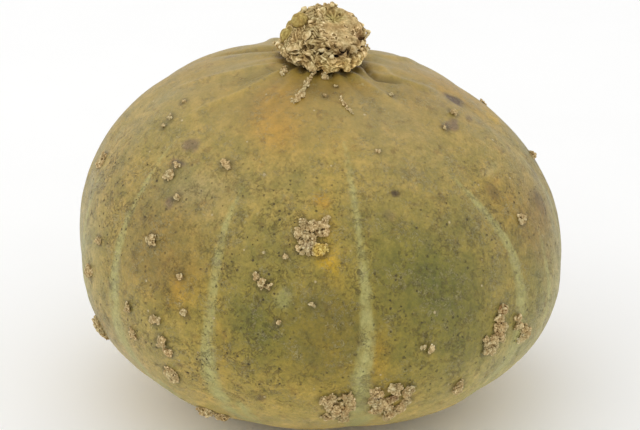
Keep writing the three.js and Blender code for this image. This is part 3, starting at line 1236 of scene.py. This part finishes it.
def make_stem():
    crumbs = Crumbs(23)
    for share, azimuth, depth, radii in LOBES:
        here, axes = stem_spot(share, 0.0, math.radians(azimuth))
        crumbs.add(here - axes[2] * depth, axes, np.array(radii), 0)
    add_bark(crumbs)
    add_lip(crumbs)
    add_top(crumbs)
    stem = crumbs.melt("corky_stem", STEM_GRAIN, stem_core(0.6))

    mesh = stem.data
    points = mesh_points(mesh)
    normals = smoothed(mesh, mesh_normals(mesh), 10)
    normals /= np.maximum(np.linalg.norm(normals, axis=1, keepdims=True), 0.3)
    points = 0.3 * points + 0.7 * smoothed(mesh, points, 4)
    face, lobes, lip = cut_face(points), on_lobes(points), on_lip(points)
    crevice = near_stem_line(points, CREVICE, 1.1)
    notch = near_stem_line(points, NOTCH, 1.7)
    rough = (1 - 0.9 * face) * (1 - 0.85 * lobes) * (1 - 0.4 * lip)
    height = rough * bark_relief(points) + face * face_relief(points)
    height -= CREVICE_DEPTH * crevice + NOTCH_DEPTH * notch
    move_points(mesh, points + normals * height[:, None])
    mark_cork_for_hollow_shade(stem, 18)

    tone = np.ones((len(points), 3))
    stains = smoothstep(-0.05, 0.5, layered(points, 3.0, 681, 4, 0.7))
    shade = near_stem_line(points, CREVICE, 4.4) * (1 - face) * (1 - lip)
    from_hollow, _ = place_from_hollow(points)
    # The darker tints along the crevice and in the notch, and the shade round the crevice, are painted
    # shade in these recesses.
    for mask, colour in (
        (face, (1.58, 1.62, 1.90)),
        (face * stains, (0.52, 0.47, 0.38)),
        (face * fade_out(from_hollow, 6.5), (0.80, 0.84, 0.62)),
        (lobes, (1.0, 1.02, 0.74)),
        (0.7 * crevice, (0.62, 0.46, 0.46)),
        (lip, (1.64, 1.66, 1.60)),
        (shade, (0.55, 0.50, 0.42)),
        (notch, (0.52, 0.36, 0.42)),
    ):
        tone *= 1 - mask[:, None] * (1 - np.array(colour))
    give_colour(mesh, "tone", tone)
    return stem


# ---------------------------------------------------------------- materials
class Paint:
    """Builds one node material. Sizes of patterns are in millimetres."""

    def __init__(self, name):
        self.material = bpy.data.materials.new(name)
        self.material.use_nodes = True
        self.tree = self.material.node_tree
        self.shader = self.tree.nodes["Principled BSDF"]
        self.place = self.node("ShaderNodeTexCoord").outputs["Object"]

    def node(self, kind, **settings):
        made = self.tree.nodes.new(kind)
        for key, value in settings.items():
            setattr(made, key, value)
        return made

    def feed(self, socket, value):
        """Links value to a socket if it is another node's output, or else sets it there."""
        if isinstance(value, bpy.types.NodeSocket):
            self.tree.links.new(value, socket)
        elif hasattr(value, "__len__"):
            opaque = len(value) == 3 and len(socket.default_value) == 4
            socket.default_value = (*value, 1.0) if opaque else value
        else:
            socket.default_value = value

    def number(self, name):
        return self.node("ShaderNodeAttribute", attribute_name=name).outputs["Fac"]

    def colour(self, name):
        return self.node("ShaderNodeAttribute", attribute_name=name).outputs["Color"]

    def stretched(self, x, y, z):
        """The place, with patterns made longer along an axis whose number is below 1."""
        mapping = self.node("ShaderNodeMapping")
        self.feed(mapping.inputs["Vector"], self.place)
        mapping.inputs["Scale"].default_value = (x, y, z)
        return mapping.outputs["Vector"]

    def noise(self, size, seed, detail=4.0, roughness=0.6, at=None, distortion=0.0):
        made = self.node("ShaderNodeTexNoise", noise_dimensions="4D")
        self.feed(made.inputs["Vector"], at or self.place)
        made.inputs["W"].default_value = seed
        made.inputs["Scale"].default_value = 1 / (size * MM)
        made.inputs["Detail"].default_value = detail
        made.inputs["Roughness"].default_value = roughness
        made.inputs["Distortion"].default_value = distortion
        return made.outputs["Fac"]

    def curls(self, size, seed, width):
        """Thin curly lines: 1 on them, 0 between them."""
        lines = self.noise(size, seed, 5, 0.7, distortion=0.8)
        off = self.math("ABSOLUTE", self.math("SUBTRACT", lines, 0.5))
        return self.ramp(off, width, width * 0.3)

    def dots(self, size, seed):
        """Distance to the nearest of many scattered points, in millimetres, and each point's own number."""
        made = self.node("ShaderNodeTexVoronoi")
        mapping = self.node("ShaderNodeMapping")
        mapping.inputs["Location"].default_value = (seed, 2 * seed, 3 * seed)
        self.feed(mapping.inputs["Vector"], self.place)
        self.feed(made.inputs["Vector"], mapping.outputs["Vector"])
        made.inputs["Scale"].default_value = 1 / (size * MM)
        apart = self.node("ShaderNodeSeparateColor")
        self.feed(apart.inputs["Color"], made.outputs["Color"])
        return self.math("MULTIPLY", made.outputs["Distance"], size), apart.outputs["Red"]

    def math(self, operation, a, b=0.0, c=0.0, clamp=False):
        made = self.node("ShaderNodeMath", operation=operation, use_clamp=clamp)
        for socket, value in zip(made.inputs, (a, b, c)):
            self.feed(socket, value)
        return made.outputs[0]

    def ramp(self, value, low, high, start=0.0, end=1.0):
        """Smoothly from start, where value is low, to end, where it is high."""
        made = self.node("ShaderNodeMapRange", interpolation_type="SMOOTHSTEP")
        for socket, number in zip(made.inputs, (value, low, high, start, end)):
            self.feed(socket, number)
        return made.outputs["Result"]

    def mix(self, weight, a, b, blend="MIX"):
        made = self.node("ShaderNodeMix", data_type="RGBA", blend_type=blend)
        self.feed(made.inputs["Factor"], weight)
        self.feed(made.inputs[6], a)
        self.feed(made.inputs[7], b)
        return made.outputs[2]

    def shade(self, colour, value, dark, light):
        """The colour times a tint that runs from dark to light as value goes from 0.3 to 0.7."""
        tint = self.mix(self.ramp(value, 0.3, 0.7), dark, light)
        return self.mix(1.0, colour, tint, "MULTIPLY")

    def bands(self, value, stops):
        """A colour for each value from 0 to 1."""
        made = self.node("ShaderNodeValToRGB")
        self.feed(made.inputs["Fac"], value)
        elements = made.color_ramp.elements
        while len(elements) < len(stops):
            elements.new(0.5)
        for element, (place, colour) in zip(elements, stops):
            element.position = place
            element.color = (*colour, 1.0)
        return made.outputs["Color"]

    def bump(self, height):
        """Raises the surface by height, in millimetres."""
        made = self.node("ShaderNodeBump")
        made.inputs["Distance"].default_value = MM
        made.inputs["Strength"].default_value = 1.0
        self.feed(made.inputs["Height"], height)
        self.feed(self.shader.inputs["Normal"], made.outputs["Normal"])

    def finish(self, colour, roughness, specular):
        self.feed(self.shader.inputs["Base Color"], colour)
        self.feed(self.shader.inputs["Roughness"], roughness)
        self.shader.inputs["Specular IOR Level"].default_value = specular
        return self.material


# Colours of what lies on the rind, from 0 to 255
SCRATCH_BROWN = (104, 82, 34)
SCURF_PALE = (192, 178, 128)
SPECK_BROWN = (70, 58, 24)
PINHOLE_BROWN = (62, 48, 22)
CORK_PALE = (206, 186, 138)
# Dark specks: distance apart, seed, greatest radius and strength
SPECKS = ((1.9, 0.7, 0.3, 0.5), (3.4, 1.9, 0.52, 0.6), (7.5, 1.3, 1.05, 0.62))


def add_stripes(paint, colour, fine):
    """Pale stripes, worn thin in places and drawn out into strands."""
    stripe = paint.number("stripe")
    strands = paint.noise(1.6, 4.0, 6, 0.75, paint.stretched(1, 1, 0.2))
    ragged = paint.math("MULTIPLY_ADD", strands, 4.4, -2.1)
    inside = paint.ramp(paint.math("ADD", stripe, ragged), -0.9, 1.1)
    worn = paint.ramp(paint.noise(7, 4.5, 4, 0.6), 0.32, 0.62, 0.34, 0.80)
    worn = paint.math("ADD", worn, paint.ramp(stripe, 1.0, 3.0, 0.0, 0.35), clamp=True)
    pale = paint.shade(PALE_GREEN.tolist(), fine, (0.74, 0.76, 0.68), (1.2, 1.19, 1.2))
    return paint.mix(paint.math("MULTIPLY", inside, worn), colour, pale)


def add_scuffs(paint, colour):
    scuffs = paint.ramp(paint.noise(4.5, 5.0, 6, 0.75), 0.54, 0.64, 0, 0.7)
    return paint.mix(scuffs, colour, paint.mix(1.0, colour, (0.66, 0.58, 0.46), "MULTIPLY"))


def curly_scratches(paint):
    scratches = paint.curls(2.6, 14.0, 0.030)
    where = paint.ramp(paint.noise(6, 15.0, 4, 0.7), 0.46, 0.58, 0.05, 1.0)
    scratches = paint.math("MULTIPLY", scratches, where)
    return paint.math("MULTIPLY", scratches, paint.number("speckle"), clamp=True)


def pale_fibres(paint):
    where = paint.ramp(paint.noise(8, 18.0, 4, 0.7), 0.48, 0.60, 0.0, 1.0)
    return paint.math("MULTIPLY", paint.curls(3.2, 17.0, 0.028), where)


def scurf_grains(paint):
    where = paint.ramp(paint.noise(16, 6.0, 3, 0.6), 0.45, 0.62, 0.12, 1.0)
    grain = paint.ramp(paint.noise(1.5, 6.5, 5, 0.8), 0.52, 0.64)
    return paint.math("MULTIPLY", paint.math("MULTIPLY", where, grain), paint.number("scurf"), clamp=True)


def dark_specks(paint, fine):
    """Specks and pits of three sizes, with ragged edges."""
    speckle = paint.number("speckle")
    rough_edge = paint.math("MULTIPLY_ADD", fine, 2.2, -1.0)
    dark = 0.0
    for size, seed, greatest, strength in SPECKS:
        distance, kind = paint.dots(size, seed)
        reach = paint.ramp(kind, 0.3, 1.0, -0.1, greatest)
        edge = paint.math("SUBTRACT", paint.math("ADD", distance, rough_edge), reach)
        spots = paint.math("MULTIPLY", paint.ramp(edge, 0.12, -0.12), speckle, clamp=True)
        dark = paint.math("MAXIMUM", paint.math("MULTIPLY", spots, strength), dark)
    return dark


def pinholes(paint, fine):
    distance, kind = paint.dots(1.7, 4.1)
    distance = paint.math("ADD", distance, paint.math("MULTIPLY_ADD", fine, 0.9, -0.45))
    reach = paint.ramp(kind, 0.62, 1.0, -0.1, 0.42)
    pins = paint.ramp(paint.math("SUBTRACT", distance, reach), 0.05, -0.08)
    return paint.math("MULTIPLY", pins, paint.number("speckle"), clamp=True)


def cork_dots(paint):
    distance, kind = paint.dots(5.5, 2.9)
    reach = paint.ramp(kind, 0.5, 1.0, 0.0, 0.55)
    return paint.ramp(paint.math("SUBTRACT", distance, reach), 0.12, -0.12)


def skin_material():
    paint = Paint("rind")
    mottle = paint.number("mottle")
    broad = paint.noise(11, 1.0, 5)
    middle = paint.math("SUBTRACT", paint.noise(3.4, 2.0, 5, 0.7), 0.5)
    middle = paint.math("MULTIPLY_ADD", middle, mottle, 0.5)
    fine = paint.math("SUBTRACT", paint.noise(1.1, 3.0, 5, 0.8), 0.5)
    fine = paint.math("MULTIPLY_ADD", fine, mottle, 0.5)
    colour = paint.shade(paint.colour("tint"), broad, (0.78, 0.83, 0.72), (1.09, 1.08, 1.05))
    colour = paint.shade(colour, middle, (0.80, 0.85, 0.74), (1.18, 1.14, 1.22))
    colour = paint.shade(colour, fine, (0.78, 0.79, 0.74), (1.24, 1.22, 1.26))
    colour = add_stripes(paint, colour, fine)
    colour = add_scuffs(paint, colour)

    scratches, fibres, scurf = curly_scratches(paint), pale_fibres(paint), scurf_grains(paint)
    specks, pins, corks = dark_specks(paint, fine), pinholes(paint, fine), cork_dots(paint)
    thin_fibres, thin_scurf = paint.math("MULTIPLY", fibres, 0.5), paint.math("MULTIPLY", scurf, 0.6)
    for bits, shade in (
        (paint.math("MULTIPLY", scratches, 0.5), SCRATCH_BROWN),
        (paint.math("MAXIMUM", thin_fibres, thin_scurf), SCURF_PALE),
        (specks, SPECK_BROWN),
        (paint.math("MULTIPLY", pins, 0.82), PINHOLE_BROWN),
        (paint.math("MULTIPLY", corks, 0.8), CORK_PALE),
    ):
        colour = paint.mix(bits, colour, linear(*shade).tolist())

    dark = paint.math("MAXIMUM", specks, pins)
    height = paint.math("MULTIPLY", fine, 0.26)
    height = paint.math("MULTIPLY_ADD", middle, 0.3, height)
    for bits, rise in ((dark, -0.3), (scratches, -0.16), (fibres, 0.12), (scurf, 0.15), (corks, 0.2)):
        height = paint.math("MULTIPLY_ADD", bits, rise, height)
    paint.bump(height)
    roughness = paint.ramp(broad, 0.3, 0.7, 0.40, 0.54)
    for bits, more in ((dark, 0.2), (scurf, 0.25)):
        roughness = paint.math("MULTIPLY_ADD", bits, more, roughness)
    return paint.finish(colour, roughness, 0.5)


def cork_material(name, bands, seed):
    paint = Paint(name)
    hollow = paint.math("MULTIPLY_ADD", paint.number("hollow"), 0.7, 0.5)
    hollow = paint.math("MULTIPLY_ADD", paint.number("crack"), 2.2, hollow)
    grain = paint.noise(0.7, seed, 4, 0.7)
    hollow = paint.math("ADD", hollow, paint.math("MULTIPLY_ADD", grain, 0.3, -0.15))
    # colour by hollowness: darker in hollows and cracks and paler on crests, partly the cork's own colour
    # and partly painted shade and painted highlight
    colour = paint.bands(hollow, [(place, linear(*shade).tolist()) for place, shade in bands])
    colour = paint.shade(colour, paint.noise(4, seed + 1, 4), (1.06, 0.94, 0.80), (0.98, 1.02, 0.98))
    colour = paint.shade(colour, paint.noise(1.4, seed + 2, 4), (0.70, 0.64, 0.54), (1.20, 1.19, 1.16))
    colour = paint.mix(1.0, colour, paint.colour("tone"), "MULTIPLY")
    paint.bump(paint.math("MULTIPLY", paint.noise(0.45, seed + 3, 4, 0.7), 0.18))
    return paint.finish(colour, paint.ramp(grain, 0.3, 0.7, 0.78, 0.95), 0.25)


# Cork colours from the deepest hollows, at 0, to the highest crests, at 1: partly the cork's own darker
# crevices and paler crests, partly painted shade in the hollows and a painted highlight on the crests
WART_HOLLOW_SHADE_BANDS = (
    (0.0, (44, 32, 20)),
    (0.25, (104, 84, 54)),
    (0.48, (180, 160, 118)),
    (0.72, (216, 202, 164)),
    (1.0, (240, 232, 204)),
)
STEM_HOLLOW_SHADE_BANDS = (
    (0.0, (36, 25, 11)),
    (0.26, (88, 69, 36)),
    (0.50, (159, 139, 94)),
    (0.72, (214, 196, 152)),
    (1.0, (243, 231, 195)),
)


def floor_material():
    paint = Paint("pale_floor")
    tone = paint.noise(60, 1.0, 2)
    colour = paint.shade((0.96, 0.96, 0.955), tone, (0.99, 0.99, 0.99), (1.0, 1.0, 1.0))
    return paint.finish(colour, 0.7, 0.2)


# ---------------------------------------------------------------- pieces
skin = make_skin()
skin.data.materials.append(skin_material())
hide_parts("fruit")
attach(skin, "root")

warts = make_warts()
warts.data.materials.append(cork_material("wart_cork", WART_HOLLOW_SHADE_BANDS, 21.0))
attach(warts, "root")

stem = make_stem()
stem.data.materials.append(cork_material("stem_cork", STEM_HOLLOW_SHADE_BANDS, 31.0))
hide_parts("stem")
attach(stem, "root")


# ---------------------------------------------------------------- stage
FLOOR_HALF = 12000
WORLD_STRENGTH = 0.95
LIGHT_AIM = (0, 0, 0.06)
LIGHT_COLOUR = (1.0, 0.99, 0.98)
# Name, place and size in metres, and power in watts
LIGHTS = (
    ("top", (-0.1, 0.15, 1.2), 0.9, 1.2),
    ("left", (-1.8, -0.6, 1.3), 1.0, 3.6),
)
CAMERA_DISTANCE = 900
CAMERA_HEIGHT_DEG = 23
CAMERA_TILT_UP_DEG = 0.72
CAMERA_LENS = 143.5


def make_floor():
    corners = np.array([(-1, -1, 0), (1, -1, 0), (1, 1, 0), (-1, 1, 0)], float) * FLOOR_HALF
    floor = make_object("floor", corners, [(0, 1, 2, 3)], smooth=False)
    floor.data.materials.append(floor_material())


def make_light(name, place, size, power):
    light = bpy.data.lights.new(name, "AREA")
    light.shape = "DISK"
    light.size = size
    light.energy = power
    light.color = LIGHT_COLOUR
    thing = bpy.data.objects.new(name, light)
    thing.location = place
    thing.rotation_euler = (Vector(LIGHT_AIM) - Vector(place)).to_track_quat("-Z", "Y").to_euler()
    bpy.context.scene.collection.objects.link(thing)


def make_world():
    world = bpy.data.worlds.new("studio")
    world.use_nodes = True
    background = world.node_tree.nodes["Background"]
    background.inputs["Color"].default_value = (1.0, 1.0, 1.0, 1.0)
    background.inputs["Strength"].default_value = WORLD_STRENGTH
    bpy.context.scene.world = world


def make_camera():
    camera = bpy.data.objects.new("camera", bpy.data.cameras.new("camera"))
    camera.data.lens = CAMERA_LENS
    camera.data.sensor_width = 36
    camera.data.clip_end = 100
    up = math.radians(CAMERA_HEIGHT_DEG)
    away = np.array([0, -math.cos(up), math.sin(up)]) * CAMERA_DISTANCE
    middle = np.array([0, 0, EQUATOR_HEIGHT]) - CENTRE
    camera.location = (middle + away) * MM
    camera.rotation_euler = (math.radians(90 - CAMERA_HEIGHT_DEG + CAMERA_TILT_UP_DEG), 0, 0)
    bpy.context.scene.collection.objects.link(camera)
    bpy.context.scene.camera = camera


make_floor()
make_world()
for light in LIGHTS:
    make_light(*light)
make_camera()
bpy.context.scene.view_settings.view_transform = "Standard"
